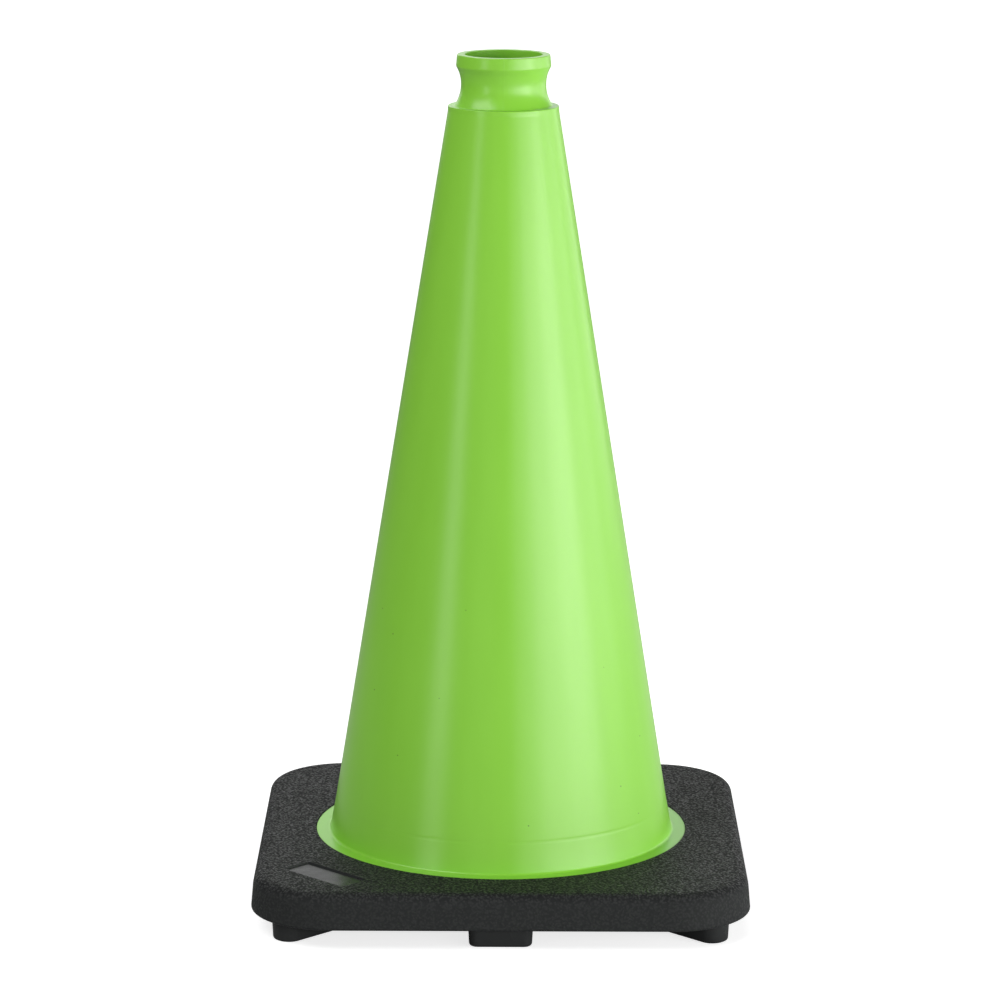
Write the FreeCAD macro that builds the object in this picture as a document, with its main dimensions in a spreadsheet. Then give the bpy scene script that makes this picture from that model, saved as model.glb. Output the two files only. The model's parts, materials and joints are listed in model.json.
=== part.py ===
"""A soft PVC traffic cone on a moulded, weighted base.

The object is two mouldings. The cone body is a thin tapered shell with a grab collar at its top and a
flange at its foot. The weighted base is moulded round that flange: its plastic fills the step and the
holes of a hidden anchor rim, so the two pieces cannot come apart. The feet belong to the base.

Frame: +Z up, origin on the ground under the cone's axis, -Y is the front. Millimetres and degrees.
"""

import FreeCAD, Part
import math
import os
import Sketcher

SHEET = "Sizes"
CONE_BODY = "cone_body"
WEIGHTED_BASE = "weighted_base"

# The driving dimensions. Each one can be changed by itself.
DRIVING_SIZES = [
    # overall
    ("overall_height", 457.2),
    ("base_width", 267.0),
    # the grab collar at the top of the cone body
    ("bore_radius", 20.8),
    ("bore_foot_rise", 1.2),
    ("rim_wall", 4.1),
    ("rim_flare", 0.6),
    ("rim_height", 6.2),
    ("rim_underside_height", 3.1),
    ("rim_edge_radius", 0.6),
    ("neck_height", 27.4),
    ("neck_top_wall", 3.2),
    ("neck_foot_wall", 5.6),
    ("neck_waist_depth", 2.25),
    ("shoulder_ledge", 3.35),
    ("shoulder_land", 2.5),
    # the tapered wall, and the skirt at its foot, which spreads a little faster
    ("cone_foot_radius", 94.4),
    ("wall", 2.45),
    ("skirt_height", 17.0),
    ("skirt_spread", 3.2),
    ("ceiling_height", 4.5),
    # the flange, and the anchor rim buried in the base
    ("flange_reach", 7.6),
    ("flange_thickness", 3.0),
    ("flange_below_base_top", 0.4),
    ("flange_fillet_radius", 1.4),
    ("anchor_drop", 5.0),
    ("anchor_reach", 11.0),
    ("anchor_hole_radius", 3.0),
    ("anchor_hole_count", 12),
    # the slab of the weighted base
    ("slab_thickness", 19.4),
    ("slab_corner_radius", 44.0),
    ("slab_draft", 5.0),
    ("slab_top_edge_radius", 6.5),
    ("slab_bottom_edge_radius", 1.5),
    ("hole_lead_in", 2.5),
    # the feet: four at the middles of the sides, four along the diagonals
    ("foot_height", 10.4),
    ("foot_draft", 3.0),
    ("foot_bottom_edge_radius", 1.6),
    ("foot_to_hole_gap", 7.0),
    ("side_foot_width", 34.2),
    ("side_foot_inset", 5.2),
    ("side_foot_corner_radius", 5.0),
    ("corner_foot_width", 17.8),
    ("corner_foot_inset", 3.4),
    # the smooth label recess on the front left corner
    ("label_length", 46.6),
    ("label_width", 18.5),
    ("label_depth", 0.9),
    ("label_corner_radius", 1.2),
    ("label_inset", 28.7),
]

FEET_OF_EACH_KIND = 4
FRONT_LEFT = 225
FRONT_RIGHT = 315
CLOSE = 1e-4

doc = FreeCAD.newDocument("traffic_cone")


def fill_sheet():
    """Puts every driving dimension in a cell of its own, with its name as the alias."""
    sheet = doc.addObject("Spreadsheet::Sheet", SHEET)
    for row, (name, value) in enumerate(DRIVING_SIZES, start=1):
        sheet.set(f"A{row}", name)
        sheet.set(f"B{row}", str(value))
        sheet.setAlias(f"B{row}", name)
    doc.recompute()
    return sheet


sheet = fill_sheet()


def cell(name):
    """The expression that reads one driving dimension."""
    return f"{SHEET}.{name}"


def value_of(expression):
    """The number that an expression has with the sheet as it stands."""
    result = sheet.evalExpression(expression)
    return float(getattr(result, "Value", result))


# ------------------------------------------------ places, as expressions of the driving dimensions
BASE_WIDTH = cell("base_width")
BORE_R = cell("bore_radius")
FOOT_R = cell("cone_foot_radius")
WALL = cell("wall")
SLAB_BOTTOM_Z = cell("foot_height")
BASE_TOP_Z = f"({SLAB_BOTTOM_Z} + {cell('slab_thickness')})"

# collar
TOP_Z = cell("overall_height")
RIM_TOP_R = f"({BORE_R} + {cell('rim_wall')})"
RIM_R = f"({RIM_TOP_R} + {cell('rim_flare')})"
RIM_FOOT_Z = f"({TOP_Z} - {cell('rim_height')})"
NECK_TOP_R = f"({BORE_R} + {cell('neck_top_wall')})"
NECK_TOP_Z = f"({RIM_FOOT_Z} - {cell('rim_underside_height')})"
NECK_FOOT_R = f"({BORE_R} + {cell('neck_foot_wall')})"
SHOULDER_Z = f"({TOP_Z} - {cell('neck_height')})"
SHOULDER_R = f"({NECK_FOOT_R} + {cell('shoulder_ledge')})"
BORE_FOOT_Z = f"({SHOULDER_Z} + {cell('bore_foot_rise')})"

# tapered wall, flange and anchor rim
FLANGE_TOP_Z = f"({BASE_TOP_Z} - {cell('flange_below_base_top')})"
FLANGE_UNDER_Z = f"({FLANGE_TOP_Z} - {cell('flange_thickness')})"
TAPER_TOP_Z = f"({SHOULDER_Z} - {cell('shoulder_land')})"
SKIRT_Z = f"({FLANGE_TOP_Z} + {cell('skirt_height')})"
SKIRT_R = f"({FOOT_R} - {cell('skirt_spread')})"
TAPER = f"(({SKIRT_R} - {SHOULDER_R}) / ({TAPER_TOP_Z} - {SKIRT_Z}))"
SKIRT_TAPER = f"({cell('skirt_spread')} / {cell('skirt_height')})"
CEILING_Z = f"({BORE_FOOT_Z} - {cell('ceiling_height')})"
CEILING_R = f"({SHOULDER_R} + {TAPER} * ({TAPER_TOP_Z} - {CEILING_Z}) - {WALL})"
INNER_SKIRT_R = f"({SKIRT_R} - {WALL})"
INNER_FOOT_R = f"({FOOT_R} + {SKIRT_TAPER} * {cell('flange_thickness')} - {WALL})"
RING_R = f"({FOOT_R} + {cell('flange_reach')})"
STEP_R = f"({RING_R} - {cell('flange_thickness')})"
ANCHOR_TOP_Z = f"({FLANGE_TOP_Z} - {cell('anchor_drop')})"
ANCHOR_UNDER_Z = f"({ANCHOR_TOP_Z} - {cell('flange_thickness')})"
ANCHOR_R = f"({RING_R} + {cell('anchor_reach')})"
ANCHOR_HOLE_R = f"({RING_R} + {cell('anchor_reach')} / 2)"

# The hole of the base carries the inside of the cone on, down to a lead-in at the slab's underside.
HOLE_BOTTOM_R = f"({INNER_FOOT_R} + {SKIRT_TAPER} * ({FLANGE_UNDER_Z} - {SLAB_BOTTOM_Z}))"
LEAD_IN_R = f"({HOLE_BOTTOM_R} + {cell('hole_lead_in')})"
LEAD_IN_Z = f"({SLAB_BOTTOM_Z} + {cell('hole_lead_in')})"

# distances from the axis to the slab's edge, and to both ends of the feet
SLAB_SIDE = f"({BASE_WIDTH} / 2)"
CORNER_RADIUS = cell("slab_corner_radius")
SLAB_DIAGONAL = f"(({SLAB_SIDE} - {CORNER_RADIUS}) * {math.sqrt(2)} + {CORNER_RADIUS})"
FEET_INNER_END = f"({LEAD_IN_R} + {cell('foot_to_hole_gap')})"
SIDE_FOOT_END = f"({SLAB_SIDE} - {cell('side_foot_inset')})"
CORNER_FOOT_END = f"({SLAB_DIAGONAL} - {cell('corner_foot_inset')})"


# ---------------------------------------------------------------------------------- sketch helpers
def new_sketch(body, name, role, height="0", turn=0.0):
    """A sketch on one of the body's origin planes, lifted to a height and turned about its normal."""
    plane = next(f for f in body.Origin.OriginFeatures if f.Role == role)
    sketch = body.newObject("Sketcher::SketchObject", name)
    sketch.AttachmentSupport = [(plane, "")]
    sketch.MapMode = "FlatFace"
    turned = FreeCAD.Rotation(FreeCAD.Vector(0, 0, 1), turn)
    sketch.AttachmentOffset = FreeCAD.Placement(FreeCAD.Vector(0, 0, value_of(height)), turned)
    sketch.setExpression(".AttachmentOffset.Base.z", height)
    return sketch


def bind(sketch, constraint, expression):
    """Adds a constraint whose size is an expression."""
    index = sketch.addConstraint(constraint)
    sketch.setExpression(f"Constraints[{index}]", expression)


def pin(sketch, edge, end, across, up):
    """Ties one point of an edge to its place, given as two expressions."""
    for kind, expression, axis in (("DistanceX", across, -2), ("DistanceY", up, -1)):
        number = value_of(expression)
        if abs(number) < CLOSE:
            sketch.addConstraint(Sketcher.Constraint("PointOnObject", edge, end, axis))
        else:
            bind(sketch, Sketcher.Constraint(kind, -1, 1, edge, end, number), expression)


def arc_edge(start, end, radius, side):
    """The short arc from start to end that bulges to the left of the way there (side 1), or right (-1)."""
    half = (end - start) * 0.5
    rise = radius - math.sqrt(radius ** 2 - half.Length ** 2)
    left = FreeCAD.Vector(-half.y, half.x, 0).normalize()
    return Part.Arc(start, start + half + left * side * rise, end)


def outline(sketch, points, arcs=None):
    """A closed outline through points, each a pair of expressions.

    arcs gives, for the number of an arc's first point, its radius as an expression and its side.
    """
    arcs = arcs or {}
    places = [FreeCAD.Vector(value_of(across), value_of(up), 0) for across, up in points]
    ends = []
    for k, start in enumerate(places):
        end = places[(k + 1) % len(places)]
        if k in arcs:
            radius, side = arcs[k]
            sketch.addGeometry(arc_edge(start, end, value_of(radius), side), False)
        else:
            sketch.addGeometry(Part.LineSegment(start, end), False)
        # a sketch turns every arc anticlockwise, so its first point may be the end of it
        starts_here = (sketch.getPoint(k, 1) - start).Length < CLOSE
        ends.append((1, 2) if starts_here else (2, 1))
    for k, (across, up) in enumerate(points):
        after = (k + 1) % len(points)
        sketch.addConstraint(Sketcher.Constraint("Coincident", k, ends[k][1], after, ends[after][0]))
        pin(sketch, k, ends[k][0], across, up)
    for k, (radius, side) in arcs.items():
        bind(sketch, Sketcher.Constraint("Radius", k, value_of(radius)), radius)


def rounded_box(sketch, low, high, corner):
    """A box between two corner points, with all four corners rounded by the radius corner."""
    (x0, y0), (x1, y1) = low, high
    left, right = f"({x0} + {corner})", f"({x1} - {corner})"
    below, above = f"({y0} + {corner})", f"({y1} - {corner})"
    points = [(right, y0), (x1, below), (x1, above), (right, y1),
              (left, y1), (x0, above), (x0, below), (left, y0)]
    outline(sketch, points, {k: (corner, -1) for k in (0, 2, 4, 6)})


def full_circle(sketch, across, up, radius):
    """A circle, with its centre and radius given as expressions."""
    centre = FreeCAD.Vector(value_of(across), value_of(up), 0)
    edge = sketch.addGeometry(Part.Circle(centre, FreeCAD.Vector(0, 0, 1), value_of(radius)), False)
    bind(sketch, Sketcher.Constraint("Radius", edge, value_of(radius)), radius)
    pin(sketch, edge, 3, across, up)


# --------------------------------------------------------------------------------- feature helpers
def new_body(label):
    """A body whose Label names its file."""
    body = doc.addObject("PartDesign::Body", label)
    body.Label = label
    return body


def recompute_tip(body, feature):
    """Makes the feature the body's tip, and gives back the body's shape with it."""
    body.Tip = feature
    doc.recompute()
    return feature.Shape


def round_axis(body, kind, name, sketch):
    """A Revolution or a Groove of the sketch, all the way round the Z axis."""
    feature = body.newObject(f"PartDesign::{kind}", name)
    feature.Profile = sketch
    feature.ReferenceAxis = (sketch, ["V_Axis"])
    feature.Angle = 360
    recompute_tip(body, feature)
    return feature


def raised(body, name, sketch, length, taper="0", downward=False):
    """A Pad of the sketch, drawn in by the taper on its way."""
    pad = body.newObject("PartDesign::Pad", name)
    pad.Profile = sketch
    pad.Reversed = downward
    pad.setExpression("Length", length)
    pad.setExpression("TaperAngle", taper)
    recompute_tip(body, pad)
    return pad


def sunk(body, name, sketch, depth):
    """A Pocket from the sketch's plane downwards. It must take material away."""
    before = body.Tip.Shape.Volume
    pocket = body.newObject("PartDesign::Pocket", name)
    pocket.Profile = sketch
    pocket.setExpression("Length", depth)
    if recompute_tip(body, pocket).Volume > before - CLOSE:
        raise RuntimeError(f"{name} cuts nothing")
    return pocket


def repeated(body, name, original, count):
    """The original feature, count times round the Z axis."""
    z_axis = next(f for f in body.Origin.OriginFeatures if f.Role == "Z_Axis")
    pattern = body.newObject("PartDesign::PolarPattern", name)
    pattern.Originals = [original]
    pattern.Axis = (z_axis, [""])
    pattern.Angle = 360
    pattern.setExpression("Occurrences", count)
    recompute_tip(body, pattern)
    return pattern


def rounded(body, name, edge_names, radius):
    """A Fillet of the named edges of the body as it stands."""
    if not edge_names:
        raise RuntimeError(f"{name} finds no edge")
    sharp = body.Tip
    fillet = body.newObject("PartDesign::Fillet", name)
    fillet.Base = (sharp, edge_names)
    fillet.setExpression("Radius", radius)
    recompute_tip(body, fillet)
    return fillet


def edges_at_height(shape, height):
    """The names of the edges that lie flat at a height."""
    level = value_of(height)
    return [f"Edge{k}" for k, edge in enumerate(shape.Edges, start=1)
            if abs(edge.BoundBox.ZMin - level) < CLOSE and abs(edge.BoundBox.ZMax - level) < CLOSE]


def ring_edges(shape, places):
    """The names of the circles round the Z axis, at places given as radius and height."""
    rings = [(value_of(radius), value_of(height)) for radius, height in places]
    names = []
    for k, edge in enumerate(shape.Edges, start=1):
        if isinstance(edge.Curve, Part.Circle):
            found = (edge.Curve.Radius, edge.Curve.Center.z)
            if any(math.dist(found, ring) < CLOSE for ring in rings):
                names.append(f"Edge{k}")
    return names


# --------------------------------------------------------------------------------------- cone body
def cone_profile(body):
    """The section of the cone body, from the bore's foot round the outside and back up the inside."""
    chord_squared = f"(({NECK_FOOT_R} - {NECK_TOP_R})^2 + ({NECK_TOP_Z} - {SHOULDER_Z})^2)"
    waist = cell("neck_waist_depth")
    neck_radius = f"({chord_squared} / (8 * {waist}) + {waist} / 2)"
    collar = [(BORE_R, BORE_FOOT_Z), (BORE_R, TOP_Z), (RIM_TOP_R, TOP_Z), (RIM_R, RIM_FOOT_Z),
              (NECK_TOP_R, NECK_TOP_Z), (NECK_FOOT_R, SHOULDER_Z), (SHOULDER_R, SHOULDER_Z)]
    outside = [(SHOULDER_R, TAPER_TOP_Z), (SKIRT_R, SKIRT_Z), (FOOT_R, FLANGE_TOP_Z)]
    flange = [(RING_R, FLANGE_TOP_Z), (RING_R, ANCHOR_TOP_Z), (ANCHOR_R, ANCHOR_TOP_Z),
              (ANCHOR_R, ANCHOR_UNDER_Z), (STEP_R, ANCHOR_UNDER_Z), (STEP_R, FLANGE_UNDER_Z)]
    inside = [(INNER_FOOT_R, FLANGE_UNDER_Z), (INNER_SKIRT_R, SKIRT_Z), (CEILING_R, CEILING_Z)]
    sketch = new_sketch(body, "ConeSection", "XZ_Plane")
    neck_start = collar.index((NECK_TOP_R, NECK_TOP_Z))
    outline(sketch, collar + outside + flange + inside, {neck_start: (neck_radius, -1)})
    return sketch


def make_cone_body():
    """The green moulding: grab collar, shoulder, tapered wall, flange and anchor rim."""
    body = new_body(CONE_BODY)
    shell = round_axis(body, "Revolution", "Shell", cone_profile(body))

    sketch = new_sketch(body, "AnchorHole", "XY_Plane", ANCHOR_TOP_Z)
    full_circle(sketch, ANCHOR_HOLE_R, "0", cell("anchor_hole_radius"))
    hole = sunk(body, "AnchorHoleCut", sketch, cell("flange_thickness"))
    repeated(body, "AnchorHoles", hole, cell("anchor_hole_count"))

    foot_ring = ring_edges(body.Tip.Shape, [(FOOT_R, FLANGE_TOP_Z)])
    rounded(body, "FlangeFillet", foot_ring, cell("flange_fillet_radius"))
    collar_rings = [(BORE_R, TOP_Z), (RIM_TOP_R, TOP_Z), (RIM_R, RIM_FOOT_Z), (SHOULDER_R, SHOULDER_Z)]
    rounded(body, "CollarEdges", ring_edges(body.Tip.Shape, collar_rings), cell("rim_edge_radius"))
    return body


# ----------------------------------------------------------------------------------- weighted base
def add_slab(body):
    """The square slab with round corners, drawn in towards its top and rounded at both edges."""
    sketch = new_sketch(body, "SlabOutline", "XY_Plane", SLAB_BOTTOM_Z)
    low, high = f"(-{SLAB_SIDE})", SLAB_SIDE
    rounded_box(sketch, (low, low), (high, high), CORNER_RADIUS)
    slab = raised(body, "Slab", sketch, cell("slab_thickness"), f"-{cell('slab_draft')}")
    rounded(body, "TopEdge", edges_at_height(slab.Shape, BASE_TOP_Z), cell("slab_top_edge_radius"))
    bottom = edges_at_height(body.Tip.Shape, SLAB_BOTTOM_Z)
    rounded(body, "BottomEdge", bottom, cell("slab_bottom_edge_radius"))


def add_side_feet(body):
    """A rounded block under the middle of each side."""
    sketch = new_sketch(body, "SideFootOutline", "XY_Plane", SLAB_BOTTOM_Z)
    half = f"({cell('side_foot_width')} / 2)"
    low, high = (f"(-{half})", f"(-{SIDE_FOOT_END})"), (half, f"(-{FEET_INNER_END})")
    rounded_box(sketch, low, high, cell("side_foot_corner_radius"))
    foot = raised(body, "SideFoot", sketch, SLAB_BOTTOM_Z, f"-{cell('foot_draft')}", downward=True)
    repeated(body, "SideFeet", foot, str(FEET_OF_EACH_KIND))


def add_corner_feet(body):
    """A bar with round ends along each diagonal, from near the hole to just inside the slab's corner."""
    sketch = new_sketch(body, "CornerFootOutline", "XY_Plane", SLAB_BOTTOM_Z, FRONT_RIGHT)
    half = f"({cell('corner_foot_width')} / 2)"
    near, far = f"({FEET_INNER_END} + {half})", f"({CORNER_FOOT_END} - {half})"
    points = [(near, f"(-{half})"), (far, f"(-{half})"), (CORNER_FOOT_END, "0"),
              (far, half), (near, half), (FEET_INNER_END, "0")]
    outline(sketch, points, {k: (half, -1) for k in (1, 2, 4, 5)})
    foot = raised(body, "CornerFoot", sketch, SLAB_BOTTOM_Z, f"-{cell('foot_draft')}", downward=True)
    repeated(body, "CornerFeet", foot, str(FEET_OF_EACH_KIND))


def cut_hole(body):
    """The round hole that the next cone in a stack comes up through, with the flange's seat at its top."""
    above = f"({BASE_TOP_Z} + {cell('slab_thickness')})"
    points = [("0", SLAB_BOTTOM_Z), (LEAD_IN_R, SLAB_BOTTOM_Z), (HOLE_BOTTOM_R, LEAD_IN_Z),
              (INNER_FOOT_R, FLANGE_UNDER_Z), (RING_R, FLANGE_UNDER_Z), (RING_R, above), ("0", above)]
    sketch = new_sketch(body, "HoleSection", "XZ_Plane")
    outline(sketch, points)
    before = body.Tip.Shape.Volume
    hole = round_axis(body, "Groove", "Hole", sketch)
    if hole.Shape.Volume > before - CLOSE:
        raise RuntimeError("the hole cuts nothing")


def cut_label_recess(body):
    """The shallow smooth rectangle across the front left corner, for a sticker or an owner's mark."""
    sketch = new_sketch(body, "LabelOutline", "XY_Plane", BASE_TOP_Z, FRONT_LEFT)
    outer = f"({SLAB_DIAGONAL} - {cell('label_inset')})"
    inner = f"({outer} - {cell('label_width')})"
    half = f"({cell('label_length')} / 2)"
    rounded_box(sketch, (inner, f"(-{half})"), (outer, half), cell("label_corner_radius"))
    sunk(body, "LabelRecess", sketch, cell("label_depth"))


def make_weighted_base(cone_body):
    """The black moulding: a slab on eight feet, formed round the cone body's flange."""
    blank = new_body("base_blank")
    add_slab(blank)
    add_side_feet(blank)
    add_corner_feet(blank)
    foot_edges = edges_at_height(blank.Tip.Shape, "0")
    rounded(blank, "FootEdges", foot_edges, cell("foot_bottom_edge_radius"))
    cut_hole(blank)
    cut_label_recess(blank)

    base = doc.addObject("Part::Cut", WEIGHTED_BASE)
    base.Label = WEIGHTED_BASE
    base.Base = blank
    base.Tool = cone_body
    return base


# ------------------------------------------------------------------------------- checks and export
def check_document():
    """Stops the build if any object failed to compute."""
    doc.recompute()
    for item in doc.Objects:
        if "Invalid" in item.State or "Error" in item.State:
            raise RuntimeError(f"{item.Label} failed: {item.State}")


def check_piece(piece):
    """Stops the build if a piece isn't one good solid."""
    shape = piece.Shape
    if shape.isNull() or not shape.isValid() or len(shape.Solids) != 1:
        raise RuntimeError(f"{piece.Label} is not one valid solid")


def write_pieces(pieces):
    """Writes each piece to a STEP file named after it, once every piece has passed."""
    for piece in pieces:
        check_piece(piece)
    os.makedirs("parts", exist_ok=True)
    for piece in pieces:
        piece.Shape.exportStep(f"parts/{piece.Label}.step")
        box = piece.Shape.BoundBox
        litres = piece.Shape.Volume / 1e6
        print(f"{piece.Label}: {box.XLength:.2f} x {box.YLength:.2f} x {box.ZLength:.2f} mm, {litres:.4f} l")


green = make_cone_body()
black = make_weighted_base(green)
check_document()
write_pieces([green, black])
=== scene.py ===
# %% [markdown]
# # A traffic cone on a weighted base
# The real cone is two mouldings: a thin green shell, and a black base that is moulded round the
# shell's flange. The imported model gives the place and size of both. Each is modelled again here with
# finer edges, and then gets the finish of its plastic. All sizes are in metres.

# %% Load the frame
import json
import math

import bpy
from mathutils import Matrix, Vector

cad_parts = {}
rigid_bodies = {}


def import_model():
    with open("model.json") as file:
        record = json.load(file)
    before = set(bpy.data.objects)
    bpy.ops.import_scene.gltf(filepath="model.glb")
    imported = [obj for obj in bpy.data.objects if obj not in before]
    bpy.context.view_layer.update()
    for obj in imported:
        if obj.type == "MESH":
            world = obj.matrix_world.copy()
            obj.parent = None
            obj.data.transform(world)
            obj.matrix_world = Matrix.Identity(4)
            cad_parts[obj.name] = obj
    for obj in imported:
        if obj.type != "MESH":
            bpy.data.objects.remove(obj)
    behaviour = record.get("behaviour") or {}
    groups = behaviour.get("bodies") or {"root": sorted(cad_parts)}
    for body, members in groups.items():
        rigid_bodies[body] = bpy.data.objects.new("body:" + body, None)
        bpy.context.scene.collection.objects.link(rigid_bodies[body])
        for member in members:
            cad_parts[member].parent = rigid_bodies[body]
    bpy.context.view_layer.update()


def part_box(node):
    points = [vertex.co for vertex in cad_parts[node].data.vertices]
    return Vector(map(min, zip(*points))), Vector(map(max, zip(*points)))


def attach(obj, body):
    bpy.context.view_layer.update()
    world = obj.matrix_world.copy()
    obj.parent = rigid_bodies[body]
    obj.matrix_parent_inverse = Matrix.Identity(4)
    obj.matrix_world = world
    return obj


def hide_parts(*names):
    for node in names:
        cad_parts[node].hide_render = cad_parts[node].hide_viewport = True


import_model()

cone_low, cone_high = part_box("cone_body")
base_low, base_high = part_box("weighted_base")
print("cone body", cone_low, cone_high)
print("weighted base", base_low, base_high)

# %% [markdown]
# ## Sizes
# The frame gives the outer sizes: the top of the collar, the top of the base and the ground. The rest
# are the cone's own named sizes, written once.

# %% Sizes of the collar, wall and flange
MM = 0.001
TOP_Z = cone_high.z
BASE_TOP_Z = base_high.z
BORE_RADIUS = 20.8 * MM
RIM_TOP_RADIUS = 24.9 * MM
RIM_RADIUS = 25.5 * MM
RIM_FOOT_Z = TOP_Z - 6.2 * MM
NECK_TOP_RADIUS = 24.0 * MM
NECK_TOP_Z = RIM_FOOT_Z - 3.1 * MM
NECK_FOOT_RADIUS = 26.4 * MM
NECK_WAIST_DEPTH = 2.25 * MM
SHOULDER_Z = TOP_Z - 27.4 * MM
SHOULDER_RADIUS = 29.75 * MM
SHOULDER_LAND = 2.5 * MM
WALL = 2.45 * MM

FLANGE_TOP_Z = BASE_TOP_Z - 0.4 * MM
FLANGE_THICKNESS = 3.0 * MM
FOOT_RADIUS = 94.4 * MM
RING_RADIUS = 102.0 * MM
ANCHOR_RADIUS = cone_high.x
SKIRT_HEIGHT = 17.0 * MM
SKIRT_RADIUS = 91.2 * MM
print("collar", round(2 * RIM_RADIUS / MM, 1), "mm across")
print("flange", round(2 * RING_RADIUS / MM, 1), "mm across")

# %% Sizes of the slab and feet
SLAB_BOTTOM_Z = 10.4 * MM
SLAB_HEIGHT = BASE_TOP_Z - SLAB_BOTTOM_Z
SLAB_WIDTH = 267.0 * MM
SLAB_CORNER = 44.0 * MM
SLAB_DRAFT = math.radians(5)
TOP_EDGE_RADIUS = 6.5 * MM
BOTTOM_EDGE_RADIUS = 1.5 * MM
FOOT_DRAFT = math.radians(3)
HOLE_LEAD_IN = 2.5 * MM
print("slab", round(SLAB_WIDTH / MM), "mm wide and", round(SLAB_HEIGHT / MM, 1), "mm thick")

# %% [markdown]
# ## Working as by hand
# Most shapes below start as a primitive, and grow in edit mode. An operator acts on whatever is
# selected, so these helpers deselect everything first, and then select by place.

# %% Helpers for selecting and editing
def deselect_all():
    """Leaves object mode with nothing selected."""
    if bpy.context.object and bpy.context.object.mode != "OBJECT":
        bpy.ops.object.mode_set(mode="OBJECT")
    bpy.ops.object.select_all(action="DESELECT")


def start_piece(name):
    """Names the primitive that was just added, and opens it for editing."""
    piece = bpy.context.object
    piece.name = name
    piece.data.name = name
    bpy.ops.object.transform_apply(location=True, rotation=True, scale=True)
    bpy.ops.object.mode_set(mode="EDIT")
    return piece


def select_edges(piece, wanted):
    """Selects, in edit mode, just the edges whose two end points pass the test."""
    bpy.ops.object.mode_set(mode="OBJECT")
    mesh = piece.data
    for part in (mesh.vertices, mesh.edges, mesh.polygons):
        part.foreach_set("select", [False] * len(part))
    count = 0
    for edge in mesh.edges:
        ends = [mesh.vertices[k].co for k in edge.vertices]
        if wanted(*ends):
            edge.select = True
            count += 1
    bpy.ops.object.mode_set(mode="EDIT")
    bpy.ops.mesh.select_mode(type="EDGE")
    return count


def apply_modifier(piece, kind, **settings):
    """Adds one modifier with its settings, and applies it."""
    deselect_all()
    piece.select_set(True)
    bpy.context.view_layer.objects.active = piece
    modifier = piece.modifiers.new(kind.title(), kind)
    for name, value in settings.items():
        setattr(modifier, name, value)
    bpy.ops.object.modifier_apply(modifier=modifier.name)


def triangles(piece):
    """How many triangles a piece has."""
    return sum(len(face.vertices) - 2 for face in piece.data.polygons)

# %% [markdown]
# ## Turned shapes
# A cone, its collar and the hole of its base are all round. A turner thinks of such a shape as a
# section, so the helper takes a section as rings of (radius, height). It adds one circle, and
# extrudes and scales it from ring to ring. The last ring is bridged to the first, which closes it.

# %% Helper for turned shapes
ROUND_STEPS = 256
RING_BEVEL_STEPS = 4
SAME_PLACE = 0.01 * MM


def turned(name, rings, closed=True):
    """A shape turned round the Z axis: a shell whose section closes, or a solid with flat ends."""
    deselect_all()
    radius, height = rings[0]
    bpy.ops.mesh.primitive_circle_add(vertices=ROUND_STEPS, radius=radius, location=(0, 0, height))
    piece = start_piece(name)
    bpy.ops.mesh.select_all(action="SELECT")
    for next_radius, next_height in rings[1:]:
        move = {"value": (0, 0, next_height - height)}
        bpy.ops.mesh.extrude_region_move(TRANSFORM_OT_translate=move)
        grow = next_radius / radius
        bpy.ops.transform.resize(value=(grow, grow, 1), center_override=(0, 0, next_height))
        radius, height = next_radius, next_height
    bpy.ops.mesh.select_all(action="SELECT")
    bpy.ops.mesh.region_to_loop()
    if closed:
        bpy.ops.mesh.bridge_edge_loops()
    else:
        bpy.ops.mesh.fill_holes(sides=ROUND_STEPS)
    bpy.ops.mesh.select_all(action="SELECT")
    bpy.ops.mesh.normals_make_consistent(inside=False)
    bpy.ops.object.mode_set(mode="OBJECT")
    return piece


def round_ring(piece, radius, height, width):
    """Bevels the ring at one radius and height, which rounds an outer corner or fills an inner one."""
    def on_ring(*ends):
        return all(math.dist((p.xy.length, p.z), (radius, height)) < SAME_PLACE for p in ends)

    found = select_edges(piece, on_ring)
    bpy.ops.mesh.bevel(offset=width, segments=RING_BEVEL_STEPS, profile=0.5, affect="EDGES")
    bpy.ops.object.mode_set(mode="OBJECT")
    print("rounded a ring of", found, "edges at radius", round(radius / MM, 1), "mm")

# %% [markdown]
# ## The green shell
# The shell is one PVC moulding. At its top is a collar: a rim, a waisted neck to grab, and a flat
# shoulder. Below is a straight taper, which spreads a little faster at the skirt, and a flange that
# the black base holds. The section goes round the outside from the bore to the anchor rim, and comes
# back up the inside. Only the neck needs an arc, so its points come from a formula.

# %% The section of the shell
NECK_STEPS = 14
BORE_FOOT_RISE = 1.2 * MM
CEILING_DROP = 4.5 * MM
ANCHOR_DROP = 5.0 * MM
BORE_FOOT_Z = SHOULDER_Z + BORE_FOOT_RISE
CEILING_Z = BORE_FOOT_Z - CEILING_DROP
TAPER_TOP_Z = SHOULDER_Z - SHOULDER_LAND
SKIRT_Z = FLANGE_TOP_Z + SKIRT_HEIGHT
TAPER = (SKIRT_RADIUS - SHOULDER_RADIUS) / (TAPER_TOP_Z - SKIRT_Z)
SKIRT_TAPER = (FOOT_RADIUS - SKIRT_RADIUS) / SKIRT_HEIGHT
CEILING_RADIUS = SHOULDER_RADIUS + TAPER * (TAPER_TOP_Z - CEILING_Z) - WALL
FLANGE_UNDER_Z = FLANGE_TOP_Z - FLANGE_THICKNESS
INNER_FOOT_RADIUS = FOOT_RADIUS + SKIRT_TAPER * FLANGE_THICKNESS - WALL
ANCHOR_TOP_Z = FLANGE_TOP_Z - ANCHOR_DROP
ANCHOR_UNDER_Z = cone_low.z
STEP_RADIUS = RING_RADIUS - FLANGE_THICKNESS


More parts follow.
